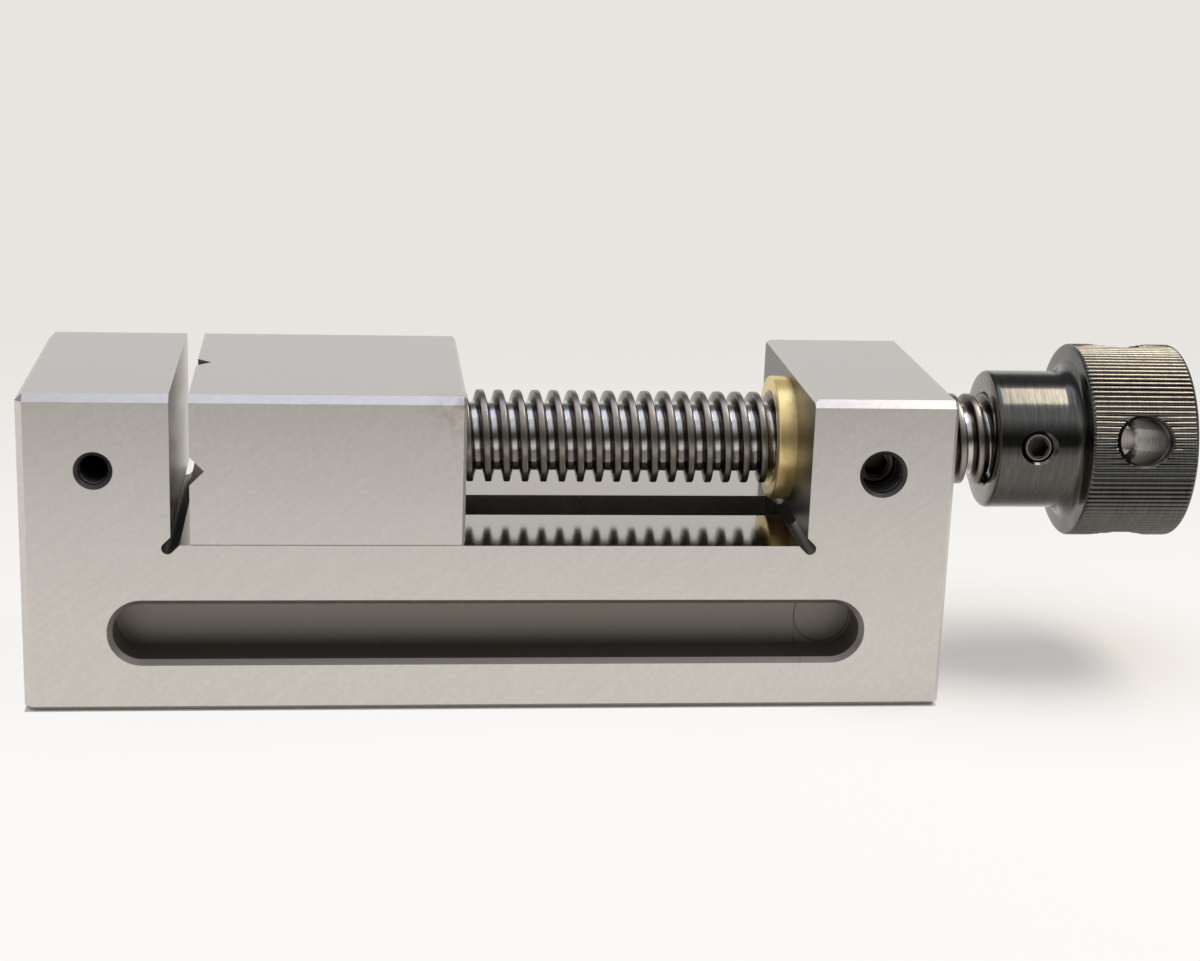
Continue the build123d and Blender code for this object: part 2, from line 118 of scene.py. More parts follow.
class ViseThreadProperties(bpy.types.PropertyGroup):
    """Lead screw thread, which the nut shares"""

    pitch: length("Pitch", "Travel for one turn of the screw", 5.08 * MM)
    depth: length("Depth", "From crest to root", 3.25 * MM)
    crest: length("Crest", "Width of the flat on the crest", 1.7 * MM)
    root: length("Root", "Width of the flat in the root", 1.7 * MM)
    corner: length("Corner", "Rounding of the crest and root corners", 0.32 * MM)
    shoulder: length("Shoulder", "From the jaw's rear face to the thread's start", 0.6 * MM)
    start_bevel: length("Start bevel", "Bevel on the first thread", 1.0 * MM)
    nut_play: length("Nut play", "Room between the screw and the nut's thread", 0.08 * MM)
    phase: bpy.props.FloatProperty(
        name="Phase", description="Part of a turn by which the thread is set forward", default=0.57,
        min=0, max=1,
    )
    segments: bpy.props.IntProperty(
        name="Segments", description="Faces in one turn", default=72, min=12
    )


class ViseKnobProperties(bpy.types.PropertyGroup):
    """Hand knob and its straight knurl"""

    hub_radius: length("Hub radius", "Radius of the plain hub", 19.25 * MM)
    hub_length: length("Hub length", "From the hub's face to the head's face", 23.8 * MM)
    hub_chamfer: length("Hub chamfer", "Rounding round the hub's face", 1.2 * MM)
    head_fillet: length("Head fillet", "Hollow between the hub and the head", 3.8 * MM)
    head_edge: length("Head edge", "Rounding of the head's inner edge", 1.0 * MM)
    head_end_edge: length("Head end edge", "Rounding of the head's outer edge", 1.4 * MM)
    tooth_depth: length("Tooth depth", "Depth of the knurl", 0.45 * MM)
    bore_depth: length("Bore depth", "Depth of the bore for the screw", 28.75 * MM)
    bar_radius: length("Bar hole radius", "Radius of the two crossed bar holes", 6.5 * MM)
    bar_chamfer: length("Bar hole chamfer", "Countersink of each bar hole", 1.9 * MM)
    bar_from_head: length("Bar hole place", "From the head's face to the bar holes", 14.8 * MM)
    bar_angle: angle("Bar hole angle", "First bar hole above the near side", 13.5)
    set_radius: length("Set screw radius", "Radius of the set screw's hole", 4.1 * MM)
    set_chamfer: length("Set screw chamfer", "Countersink of the set screw's hole", 1.2 * MM)
    set_from_hub: length("Set screw place", "From the hub's face to the set screw", 11.3 * MM)
    set_angle: angle("Set screw angle", "Set screw above the near side", 7.0)
    set_face: length("Set screw face", "From the axis to the set screw's face", 17.65 * MM)
    set_flat: length("Shank flat", "From the axis to the flat under the set screw", 11.7 * MM)
    flat_length: length("Flat length", "Length of the flat along the shank", 12.0 * MM)
    teeth: bpy.props.IntProperty(
        name="Teeth", description="Number of knurl teeth", default=112, min=24
    )


class ViseFinishProperties(bpy.types.PropertyGroup):
    """Metals of the vise"""

    ground: colour("Ground steel", "Ground faces of the body and the jaw", "#D1CCC6")
    # Bed: darker than the ground steel, partly as painted shade
    bed: colour("Bed", "Bed that the moving jaw slides on, ground finer", "#A8A297")
    # Milled steel: darker than the ground steel, partly as painted shade in the slots
    milled: colour("Milled steel", "Milled walls of the clamping slots", "#8A847C")
    stain: colour("Stain", "Old rust on the moving jaw's corner", "#8A6F55")
    crest: colour("Thread crest", "Crests of the lead screw, dulled by handling", "#968F86")
    # Thread flank: painted shade, darker than the roots
    flank: colour("Thread flank", "Flanks of the lead screw, dark with oil", "#6C655D")
    root: colour("Thread root", "Roots of the lead screw", "#C4C1BD")
    brass: colour("Brass", "Lead nut", "#FFE39A")
    tarnish: colour("Tarnish", "Patches of tarnish on the brass", "#A9905C")
    oxide: colour("Black oxide", "Hub and head of the knob", "#555450")
    worn: colour("Worn oxide", "Knurl crests rubbed towards the metal", "#A39C90")
    hub_face: colour("Hub face", "Face of the hub, rubbed towards the metal", "#8A8682")
    drilled: colour("Drilled steel", "Walls of the bar holes", "#A09A93")
    # Tapped steel: painted shade, darker than the hardened steel, inside the holes
    tapped: colour("Tapped steel", "Threads of the stop and lock screw holes", "#6E6963")
    screw_black: colour("Screw black", "Socket screws", "#6E675F")
    hardened: colour("Hardened steel", "Tongue, keeper, pins and pads", "#B4B2AE")


class ViseStageProperties(bpy.types.PropertyGroup):
    """Floor, lamps, surroundings and camera"""

    floor: colour("Floor", "Pale floor", "#F7F3EC")
    near_floor: colour("Near floor", "Floor in front of the vise, out of its shadow", "#FEFDFB")
    far_floor: colour("Far floor", "Floor behind the vise and the backdrop", "#E8E5E0")
    lamp_colour: colour("Lamp", "Cool light of the overhead lamp", "#D0DCFF")
    lamp_strength: bpy.props.FloatProperty(
        name="Lamp strength", description="Brightness of the overhead lamp", default=1.15, min=0
    )
    knob_lamp_colour: colour("Knob lamp", "Warm light of the lamp over the knob", "#FFF3E2")
    knob_lamp_strength: bpy.props.FloatProperty(
        name="Knob lamp strength", description="Brightness of the knob lamp", default=8.0, min=0
    )
    lamp_height: length("Lamp height", "Height of the lamps", 0.62)
    lens: bpy.props.FloatProperty(
        name="Lens", description="Focal length on a 36 mm wide sensor", default=69.71,
        subtype="DISTANCE_CAMERA",
    )
    camera_place: bpy.props.FloatVectorProperty(
        name="Camera place", description="Where the camera stands",
        default=(0.04436, -0.61856, 0.22876), subtype="TRANSLATION",
    )
    camera_turn: bpy.props.FloatVectorProperty(
        name="Camera turn", description="Yaw to the right, pitch down and roll",
        default=(0.1142, 0.2754, 0.0354), subtype="EULER",
    )


def add_node(tree, kind, values=None, links=None, output=None, **settings):
    """Adds a node, sets its settings and input values, links its inputs and returns its output."""
    node = tree.nodes.new("ShaderNode" + kind)
    for name, value in settings.items():
        setattr(node, name, value)
    for socket, value in (values or {}).items():
        node.inputs[socket].default_value = value
    for socket, source in (links or {}).items():
        tree.links.new(source, node.inputs[socket])
    if output:
        return node.outputs[output]
    return next((socket for socket in node.outputs if socket.enabled), None)


def new_material(name):
    """An empty node material, its node tree and the piece's own coordinates."""
    material = bpy.data.materials.new(name)
    material.use_nodes = True
    tree = material.node_tree
    tree.nodes.clear()
    return material, tree, add_node(tree, "TexCoord", output="Object")


def close_material(material, base, roughness, relief=None, metallic=1.0):
    """Ends a material with its shader. A relief is a pattern, its strength and its height."""
    tree = material.node_tree
    values, links = {"Metallic": metallic}, {"Base Color": base}
    (links if isinstance(roughness, bpy.types.NodeSocket) else values)["Roughness"] = roughness
    if relief:
        pattern, strength, height = relief
        links["Normal"] = add_node(
            tree, "Bump", {"Strength": strength, "Distance": height}, {"Height": pattern}
        )
    shader = add_node(tree, "BsdfPrincipled", values, links)
    add_node(tree, "OutputMaterial", links={"Surface": shader})
    return material


def per_mm(*sizes):
    """Scale of a pattern on coordinates in metres, from the real size of its features in mm."""
    scales = [1 / (size * MM) for size in sizes]
    return scales if len(scales) > 1 else scales[0]


def tool_marks(tree, place, sizes, detail, roughness=0.5):
    """Noise drawn out into the lines that a tool leaves, by their sizes along X, Y and Z in mm."""
    drawn_out = add_node(tree, "Mapping", {"Scale": per_mm(*sizes)}, {"Vector": place})
    return add_node(
        tree, "TexNoise", {"Scale": 1.0, "Detail": detail, "Roughness": roughness},
        {"Vector": drawn_out},
    )


def varied(tree, base, pattern, dark, light):
    """A colour that a pattern takes from dark to light."""
    amount = add_node(tree, "MapRange", {"To Min": dark, "To Max": light}, {"Value": pattern})
    values, links = {}, {"Scale": amount}
    (links if isinstance(base, bpy.types.NodeSocket) else values)[0] = base
    return add_node(tree, "VectorMath", values, links, operation="SCALE")


def from_line(tree, place, point, around):
    """Distance from the line through a point along the axis that around names."""
    offset = add_node(tree, "VectorMath", {1: point}, {0: place}, operation="SUBTRACT")
    flat = add_node(tree, "VectorMath", {1: around}, {0: offset}, operation="MULTIPLY")
    return add_node(tree, "VectorMath", links={0: flat}, output="Value", operation="LENGTH")


def within(tree, *bands):
    """1 where every band holds, else 0. A band is a coordinate, its middle and its reach."""
    masks = [
        add_node(tree, "Math", {1: middle, 2: reach}, {0: coordinate}, operation="COMPARE")
        for coordinate, middle, reach in bands
    ]
    mask = masks[0]
    for other in masks[1:]:
        mask = add_node(tree, "Math", links={0: mask, 1: other}, operation="MULTIPLY")
    return mask


def ground_steel(name, finish, stained_corner=None):
    """Tool steel, surface ground."""
    # Ground steel: fine wheel lines along the travel and a faint mottle soften what it mirrors. The
    # bed is finished finer and the slots are milled; painted shade darkens the bed and the slots in
    # part, and the hole mouths, the block's inner face, its upper side edges and the relief cuts.
    material, tree, place = new_material(name)
    wheel_lines = tool_marks(tree, place, (28, 0.22, 0.22), 3.0)
    mottle = add_node(
        tree, "TexNoise", {"Scale": per_mm(1.6), "Detail": 4.0, "Roughness": 0.6}, {"Vector": place}
    )
    leaning = add_node(tree, "Mapping", {"Rotation": (0, math.radians(38), 0)}, {"Vector": place})
    streaks = tool_marks(tree, leaning, (14, 2.5, 1.1), 2.0)
    cells = add_node(tree, "TexVoronoi", {"Scale": per_mm(3.2)}, {"Vector": place})
    speck = add_node(tree, "MapRange", {"From Min": 0.025, "From Max": 0.07}, {"Value": cells})
    face = varied(tree, finish.ground, mottle, 0.88, 1.1)
    face = varied(tree, face, streaks, 0.94, 1.05)
    face = varied(tree, face, wheel_lines, 0.965, 1.03)
    face = varied(tree, face, speck, 0.76, 1.0)
    axes = add_node(tree, "SeparateXYZ", links={"Vector": place}, output="X").node.outputs
    depth = add_node(tree, "Math", links={0: axes["Y"]}, operation="ABSOLUTE")

    # Milled walls and floors of the clamping slots, with the plunge mark of the cutter at one end;
    # their darker colour is partly the milled finish and partly painted shade
    slot_middle = (83.65 * MM, 31.5 * MM, 21.7 * MM)
    slot_reach = (101 * MM, 6.55 * MM, 9.2 * MM)
    in_slot = within(tree, *zip((axes["X"], depth, axes["Z"]), slot_middle, slot_reach))
    plunge_radius, mark_width = 7.65 * MM, 0.14 * MM
    from_plunge = from_line(tree, place, (174.5 * MM, 0, 22.3 * MM), AROUND_Y)
    # The slot walls' dark colour is partly painted shade
    wall = varied(tree, finish.milled, mottle, 0.82, 1.16)
    wall = varied(tree, wall, speck, 0.6, 1.0)
    wall = varied(tree, wall, within(tree, (from_plunge, plunge_radius, mark_width)), 1.0, 0.45)
    face = add_node(tree, "Mix", links={0: in_slot, 6: face, 7: wall}, output=2, data_type="RGBA")

    # Countersunk mouths and walls of the two tapped holes, darkened as painted shade
    half_depth, face_reach = 14 * MM, 0.004 * MM
    below_face = (axes["Y"], BODY_LOW.y + half_depth, half_depth - face_reach)
    at_stop, at_lock = (
        within(tree, (from_line(tree, place, (x, 0, AXIS_HEIGHT), AROUND_Y), 0, mouth), below_face)
        for x, mouth in ((STOP_X, STOP_MOUTH), (LOCK_X, LOCK_MOUTH))
    )
    hole = add_node(tree, "Math", links={0: at_stop, 1: at_lock}, operation="MAXIMUM")
    face = varied(tree, face, hole, 1.0, 0.13)

    # Rust stain on a corner of the jaw, and a painted shade line where the jaw stands on the bed
    if stained_corner:
        stain_radius, stain_heart, foot_height = 9 * MM, 1 * MM, 0.22 * MM
        away = add_node(
            tree, "VectorMath", {1: stained_corner}, {0: place}, output="Value", operation="DISTANCE"
        )
        nearness = add_node(
            tree, "MapRange", {"From Min": stain_radius, "From Max": stain_heart}, {"Value": away}
        )
        patches = add_node(
            tree, "TexNoise", {"Scale": per_mm(3.5), "Detail": 5.0}, {"Vector": place}
        )
        patch = add_node(
            tree, "MapRange", {"From Min": 0.45, "From Max": 0.7, "To Max": 0.6}, {"Value": patches}
        )
        stain = add_node(tree, "Math", links={0: nearness, 1: patch}, operation="MULTIPLY")
        face = add_node(
            tree, "Mix", {7: (*finish.stain, 1)}, {0: stain, 6: face}, output=2, data_type="RGBA"
        )
        # Painted shade: a dark line along the jaw's foot, where it meets the bed
        face = varied(tree, face, within(tree, (axes["Z"], BED_HEIGHT, foot_height)), 1.0, 0.3)

    # Bed, finished finer, with a darker colour that is partly painted shade; and painted shade on the
    # inner face of the block, on the upper side edges of the block against the lamp's highlight, and
    # in the relief cuts at the feet of the fixed jaw and the block
    half_bed, half_width, shaded_edge_width = BLOCK_FACE / 2, -BODY_LOW.y, 0.85 * MM
    cut_depth, cut_middle, cut_reach = 4 * MM, half_bed + 2 * MM, 5 * MM
    between_sides = (depth, 0, half_width - PLANE_REACH)
    from_middle = add_node(tree, "Math", {1: half_bed}, {0: axes["X"]}, operation="SUBTRACT")
    sideways = add_node(tree, "Math", links={0: from_middle}, operation="ABSOLUTE")
    on_bed = within(
        tree, (axes["Z"], BED_HEIGHT, 2 * PLANE_REACH), between_sides, (sideways, 0, half_bed)
    )
    shaded_block_face = within(tree, (axes["X"], BLOCK_FACE, PLANE_REACH), between_sides)
    painted_shade_edge = within(
        tree, (axes["Z"], BODY_HIGH.z, shaded_edge_width), (depth, half_width, shaded_edge_width),
        (axes["X"], BODY_HIGH.x, BODY_HIGH.x - BLOCK_FACE - PLANE_REACH),
    )
    shaded_relief_cut = within(
        tree, (axes["Z"], BED_HEIGHT - cut_depth, cut_depth - PLANE_REACH),
        (sideways, cut_middle, cut_reach), between_sides,
    )
    # The bed's darker colour is partly painted shade
    face = add_node(
        tree, "Mix", {7: (*finish.bed, 1)}, {0: on_bed, 6: face}, output=2, data_type="RGBA"
    )
    # Painted shade on the block's inner face, its upper side edges and the relief cuts
    for mask, shade in ((shaded_block_face, 0.3), (painted_shade_edge, 0.46), (shaded_relief_cut, 0.5)):
        face = varied(tree, face, mask, 1.0, shade)
    roughness = add_node(tree, "MapRange", {"To Min": 0.25, "To Max": 0.35}, {"Value": mottle})
    for mask, amount in (
        (on_bed, -0.19), (shaded_block_face, 0.06), (in_slot, 0.2), (hole, 0.15), (shaded_relief_cut, 0.2),
        (painted_shade_edge, -0.22),
    ):
        roughness = add_node(
            tree, "Math", {1: amount}, {0: mask, 2: roughness}, operation="MULTIPLY_ADD"
        )
    return close_material(material, face, roughness, (wheel_lines, 0.2, 0.005 * MM))


def turned_steel(name, finish):
    """Carbon steel, turned and thread-rolled, left bright."""
    # Turned steel: the smooth roots mirror the lamp in short bright patches between flanks darkened as
    # painted shade, while the crests are dulled by handling, with fine tool lines round the axis and
    # small pits.
    material, tree, place = new_material(name)
    tool_lines = tool_marks(tree, place, (0.14, 9, 9), 3.0)
    pits = add_node(
        tree, "TexNoise", {"Scale": per_mm(0.8), "Detail": 5.0, "Roughness": 0.65},
        {"Vector": place},
    )
    pitted = add_node(tree, "MapRange", {"From Min": 0.28, "From Max": 0.42}, {"Value": pits})
    radius = from_line(tree, place, (0, 0, AXIS_HEIGHT), AROUND_X)
    flank, crest = (
        add_node(
            tree, "MapRange", {"From Min": CREST_RADIUS - start, "From Max": CREST_RADIUS - full},
            {"Value": radius},
        )
        for start, full in ((3.1 * MM, 2.6 * MM), (1.0 * MM, 0.15 * MM))
    )
    # Painted shade: the flanks darker than the roots
    steel = add_node(
        tree, "Mix", {6: (*finish.root, 1), 7: (*finish.flank, 1)}, {0: flank}, output=2,
        data_type="RGBA",
    )
    steel = add_node(
        tree, "Mix", {7: (*finish.crest, 1)}, {0: crest, 6: steel}, output=2, data_type="RGBA"
    )
    steel = varied(tree, steel, tool_lines, 0.9, 1.08)
    steel = varied(tree, steel, pitted, 0.7, 1.0)
    smooth = add_node(tree, "MapRange", {"To Min": 0.26, "To Max": 0.17}, {"Value": pits})
    roughness = add_node(
        tree, "Math", {1: 0.12}, {0: crest, 2: smooth}, operation="MULTIPLY_ADD"
    )
    return close_material(material, steel, roughness, (tool_lines, 0.3, 0.006 * MM))


def turned_brass(name, finish):
    """Free-cutting brass, turned."""
    # Turned brass: a pale yellow metal whose tool lines round the axis draw the lamp out into
    # bands. A thin film of tarnish scatters some light, so it stays bright where it mirrors nothing.
    material, tree, place = new_material(name)
    tool_lines = tool_marks(tree, place, (0.16, 12, 12), 2.0)
    tarnish = add_node(tree, "TexNoise", {"Scale": per_mm(5), "Detail": 4.0}, {"Vector": place})
    patch = add_node(
        tree, "MapRange", {"From Min": 0.5, "From Max": 0.75, "To Max": 0.3}, {"Value": tarnish}
    )
    brass = add_node(
        tree, "Mix", {7: (*finish.tarnish, 1)},
        {0: patch, 6: varied(tree, finish.brass, tool_lines, 0.92, 1.05)}, output=2,
        data_type="RGBA",
    )
    roughness = add_node(tree, "MapRange", {"To Min": 0.26, "To Max": 0.36}, {"Value": tarnish})
    return close_material(material, brass, roughness, (tool_lines, 0.3, 0.006 * MM), 0.68)


def black_oxide(name, finish, tooth_depth):
    """Carbon steel, turned, knurled and blacked in hot salts."""
    # Black oxide: the thin layer keeps the metal's gloss and its tool lines, so the hub shows a
    # streaked highlight, and it is rubbed towards the metal on the knurl and on the hub's face. The
    # knurl's rubbing grows towards the top as a painted highlight.
    material, tree, place = new_material(name)
    tool_lines = tool_marks(tree, place, (0.5, 9, 9), 5.0, 0.7)
    blotches = add_node(tree, "TexNoise", {"Scale": per_mm(2.2), "Detail": 5.0}, {"Vector": place})
    radius = from_line(tree, place, (0, 0, AXIS_HEIGHT), AROUND_X)
    crest_start, crest_full = (HEAD_RADIUS - share * tooth_depth for share in (0.6, 0.05))
    crest = add_node(
        tree, "MapRange", {"From Min": crest_start, "From Max": crest_full}, {"Value": radius}
    )
    rubbing = add_node(
        tree, "MapRange", {"From Min": 0.3, "From Max": 0.55, "To Min": 0.25, "To Max": 0.8},
        {"Value": blotches},
    )
    wear = add_node(tree, "Math", links={0: crest, 1: rubbing}, operation="MULTIPLY")
    axes = add_node(tree, "SeparateXYZ", links={"Vector": place}, output="X").node.outputs
    # Painted highlight: the knurl's rubbing grows towards the top, where the lamp falls
    highlight_from, highlight_full = AXIS_HEIGHT + 2 * MM, AXIS_HEIGHT + 21 * MM
    painted_highlight_top = add_node(
        tree, "MapRange",
        {"From Min": highlight_from, "From Max": highlight_full, "To Min": 0.1, "To Max": 0.62},
        {"Value": axes["Z"]},
    )
    wear = add_node(tree, "Math", links={0: wear, 1: painted_highlight_top}, operation="MULTIPLY")
    metal = add_node(
        tree, "Mix", {7: (*finish.worn, 1)},
        {0: wear, 6: varied(tree, finish.oxide, tool_lines, 0.1, 2.0)}, output=2, data_type="RGBA",
    )
    face_end, face_full = KNOB_LOW.x + 0.5 * MM, KNOB_LOW.x + 0.1 * MM
    on_hub_face = add_node(
        tree, "MapRange", {"From Min": face_end, "From Max": face_full, "To Max": 0.7},
        {"Value": axes["X"]},
    )
    metal = add_node(
        tree, "Mix", {7: (*finish.hub_face, 1)}, {0: on_hub_face, 6: metal}, output=2,
        data_type="RGBA",
    )
    roughness = add_node(tree, "MapRange", {"To Min": 0.12, "To Max": 0.21}, {"Value": blotches})
    roughness = add_node(
        tree, "Math", {1: 0.16}, {0: wear, 2: roughness}, operation="MULTIPLY_ADD"
    )
    return close_material(material, metal, roughness, (tool_lines, 0.4, 0.006 * MM))


def drilled_steel(name, finish):
    """The bar holes, drilled through and blacked with the rest."""
    # Drilled steel: the drill leaves rings round the hole, which catch the light as fine arcs, and
    # the wall darkens towards its countersunk mouth.
    material, tree, place = new_material(name)
    radius = from_line(tree, place, (0, 0, AXIS_HEIGHT), AROUND_X)
    rings = add_node(
        tree, "TexNoise", {"Scale": per_mm(0.6), "Detail": 1.0}, {"W": radius},
        noise_dimensions="1D",
    )
    ringed = add_node(tree, "MapRange", {"From Min": 0.35, "From Max": 0.65}, {"Value": rings})
    crossing, mouth_start = 8 * MM, HEAD_RADIUS - 2 * MM
    mouth = add_node(
        tree, "MapRange", {"From Min": crossing, "From Max": mouth_start}, {"Value": radius}
    )
    wall = varied(tree, varied(tree, finish.drilled, ringed, 0.35, 1.4), mouth, 1.1, 0.2)
    return close_material(material, wall, 0.32, (rings, 0.8, 0.08 * MM))


def black_screw(name, finish, face, outwards, radius):
    """Alloy steel socket screw with an oiled black finish."""
    # Oiled black steel: a dull dark face with a thin rim brightened as a painted highlight, and a
    # socket darkened below the face as painted shade.
    material, tree, place = new_material(name)
    wear = add_node(tree, "TexNoise", {"Scale": per_mm(0.7), "Detail": 4.0}, {"Vector": place})
    from_face = add_node(tree, "VectorMath", {1: face}, {0: place}, operation="SUBTRACT")
    height = add_node(
        tree, "VectorMath", {1: outwards}, {0: from_face}, output="Value", operation="DOT_PRODUCT"
    )
    # Painted shade: the socket darkens below the face
    socket_shade_level, face_level = -0.35 * MM, -0.15 * MM
    above = add_node(
        tree, "MapRange", {"From Min": socket_shade_level, "From Max": face_level}, {"Value": height}
    )
    from_middle = add_node(
        tree, "VectorMath", {1: face}, {0: place}, output="Value", operation="DISTANCE"
    )
    # Painted highlight: a bright thin rim round the screw's face
    rim = add_node(
        tree, "MapRange", {"From Min": 0.76 * radius, "From Max": 0.84 * radius},
        {"Value": from_middle},
    )
    metal = varied(tree, finish.screw_black, wear, 0.6, 1.5)
    metal = varied(tree, metal, rim, 0.6, 3.2)
    metal = varied(tree, metal, above, 0.15, 1.0)
    roughness = add_node(tree, "MapRange", {"To Min": 0.28, "To Max": 0.42}, {"Value": wear})
    return close_material(material, metal, roughness)


def hardened_steel(name, base):
    """Tool steel, hardened and ground."""
    # Hardened and ground steel: a dull silver with short crossed lines.
    material, tree, place = new_material(name)
    lines = tool_marks(tree, place, (0.25, 6, 0.25), 3.0)
    steel = varied(tree, base, lines, 0.88, 1.08)
    roughness = add_node(tree, "MapRange", {"To Min": 0.26, "To Max": 0.38}, {"Value": lines})
    return close_material(material, steel, roughness)


def dress(node_name, material):
    """Puts a material on a solid of the frame."""
    slots = frame["nodes"][node_name].data.materials
    slots.clear()
    slots.append(material)


def smooth_by_angle(mesh, degrees):
    """Shades a mesh smooth, but for its sharp edges."""
    mesh.shade_smooth()
    mesh.set_sharp_from_angle(angle=math.radians(degrees))


def new_object(name, bm, materials):
    """Makes a finished mesh an object of the scene."""
    mesh = bpy.data.meshes.new(name)
    bm.to_mesh(mesh)
    bm.free()
    for material in materials:
        mesh.materials.append(material)
    smooth_by_angle(mesh, 30)
    made = bpy.data.objects.new(name, mesh)
    bpy.context.scene.collection.objects.link(made)
    return made


def new_piece(name, bm, body, materials, node_names=()):
    """Makes a finished mesh a piece of the vise that rides on a body and may stand for solids."""
    piece = new_object(name, bm, materials)
    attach(piece, body)
    if node_names:
        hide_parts(*node_names)
    return piece


def draw_profile(bm, points):
    """Joins points, each a place along X and a distance from X, by edges."""
    verts = [bm.verts.new((x, 0, radius)) for x, radius in points]
    for pair in zip(verts, verts[1:]):
        bm.edges.new(pair)
    return verts


def round_corners(bm, corners, radius, segments):
    """Rounds corners of a profile."""
    bmesh.ops.bevel(
        bm, geom=corners, offset=radius, offset_type="OFFSET", segments=segments, profile=0.5,
        affect="VERTICES", material=-1,
    )


def turn(bm, profile, steps, turns=1, advance=0.0):
    """Turns a profile about X, and moves it along by an advance at each step."""
    bmesh.ops.spin(
        bm, geom=profile, cent=(0, 0, 0), axis=(1, 0, 0), dvec=(advance, 0, 0),
        angle=2 * math.pi * turns, steps=steps * turns, use_merge=not advance,
    )


def turn_profile(bm, segments):
    """Turns the profile once round X into a closed skin that faces outwards."""
    turn(bm, bm.verts[:] + bm.edges[:], segments)
    bmesh.ops.remove_doubles(bm, verts=bm.verts, dist=MERGE_DISTANCE)
    bmesh.ops.recalc_face_normals(bm, faces=bm.faces)


def sweep_thread(bm, pitch, turns, segments):
    """Turns the profile about X while it moves along, into a right-hand thread."""
    turn(bm, bm.verts[:] + bm.edges[:], segments, turns, pitch / segments)
    bmesh.ops.remove_doubles(bm, verts=bm.verts, dist=MERGE_DISTANCE)


def raise_to_axis(bm):
    """Moves a mesh from X up to the screw's axis."""
    bmesh.ops.translate(bm, vec=(0, 0, AXIS_HEIGHT), verts=bm.verts)


def cut_end(bm, x, outwards):
    """Cuts the skin off square at x and closes it with a fan of faces."""
    cut = bmesh.ops.bisect_plane(
        bm, geom=bm.verts[:] + bm.edges[:] + bm.faces[:], dist=1e-7, plane_co=(x, 0, 0),
        plane_no=(outwards, 0, 0), clear_outer=True,
    )
    rim = [part for part in cut["geom_cut"] if isinstance(part, bmesh.types.BMEdge)]
    cap = bmesh.ops.holes_fill(bm, edges=rim, sides=0)
    bmesh.ops.poke(bm, faces=cap["faces"])


def thread_skin(start, end, sizes, play):
    """Right-hand trapezoidal thread round X between two places, closed at both ends. Play grows it
    all over, for cutting the nut."""
    pitch = sizes.pitch
    crest = CREST_RADIUS + play
    root = crest - sizes.depth
    flank = (pitch - sizes.crest - sizes.root) / 2
    first = start - 1.5 * pitch
    first += (sizes.phase * pitch - first) % pitch
    turns = math.ceil((end - first) / pitch) + 1
    half_root = sizes.root / 2 - play
    bm = bmesh.new()
    verts = draw_profile(bm, [
        (first - pitch, root), (first - pitch + half_root, root),
        (first - pitch + half_root + flank, crest), (first - half_root - flank, crest),
        (first - half_root, root), (first, root),
    ])
    round_corners(bm, verts[1:-1], sizes.corner, 3)
    sweep_thread(bm, pitch, turns, sizes.segments)
    cut_end(bm, start, -1)
    cut_end(bm, end, 1)
    bmesh.ops.recalc_face_normals(bm, faces=bm.faces)
    return bm


def side_direction(angle_above):
    """Direction away from the screw's axis, at an angle above the near side."""
    return Vector((0, -math.cos(angle_above), math.sin(angle_above)))


def held_within(vert, limit):
    """Brings a point that lies further than a limit from X in to it."""
    across = Vector((0, vert.co.y, vert.co.z))
    if across.length > limit:
        vert.co.yz = (across * limit / across.length).yz


def turned_to(outwards, place):
    """Turns X to a direction and moves the origin to a place."""
    return Matrix.Translation(place) @ outwards.to_track_quat("X", "Z").to_matrix().to_4x4()


def turned_cutter(name, points, segments, matrix, materials=()):
    """A turned shape that cuts a hole in a piece."""
    bm = bmesh.new()
    draw_profile(bm, points)
    turn_profile(bm, segments)
    bmesh.ops.transform(bm, matrix=matrix, verts=bm.verts)
    return new_object(name, bm, materials)


def cut_away(piece, cutters):
    """Cuts each cutter out of the piece, applies the cuts and removes the cutters."""
    for cutter in cutters:
        modifier = piece.modifiers.new(cutter.name, "BOOLEAN")
        modifier.operation = "DIFFERENCE"
        modifier.solver = "EXACT"
        modifier.material_mode = "TRANSFER"
        modifier.object = cutter
    bpy.context.view_layer.update()
    evaluated = piece.evaluated_get(bpy.context.evaluated_depsgraph_get())
    mesh = bpy.data.meshes.new_from_object(evaluated)
    piece.modifiers.clear()
    uncut, piece.data = piece.data, mesh
    bpy.data.meshes.remove(uncut)
    for cutter in cutters:
        spare = cutter.data
        bpy.data.objects.remove(cutter)
        bpy.data.meshes.remove(spare)
    smooth_by_angle(mesh, 35)


class VISE_OT_ground_steel(bpy.types.Operator):
    """Finish the body and the moving jaw as ground steel"""

    bl_idname = "vise.ground_steel"
    bl_label = "Ground Body and Jaw"

    def execute(self, context):
        finish = context.scene.vise_finish
        from_edges = 3 * MM
        near_top = (JAW_HIGH.x - from_edges, JAW_LOW.y, JAW_HIGH.z - from_edges)
        dress("vise_body", ground_steel("Surface ground steel", finish))
        dress("moving_jaw", ground_steel("Surface ground steel, stained corner", finish, near_top))
        return {"FINISHED"}


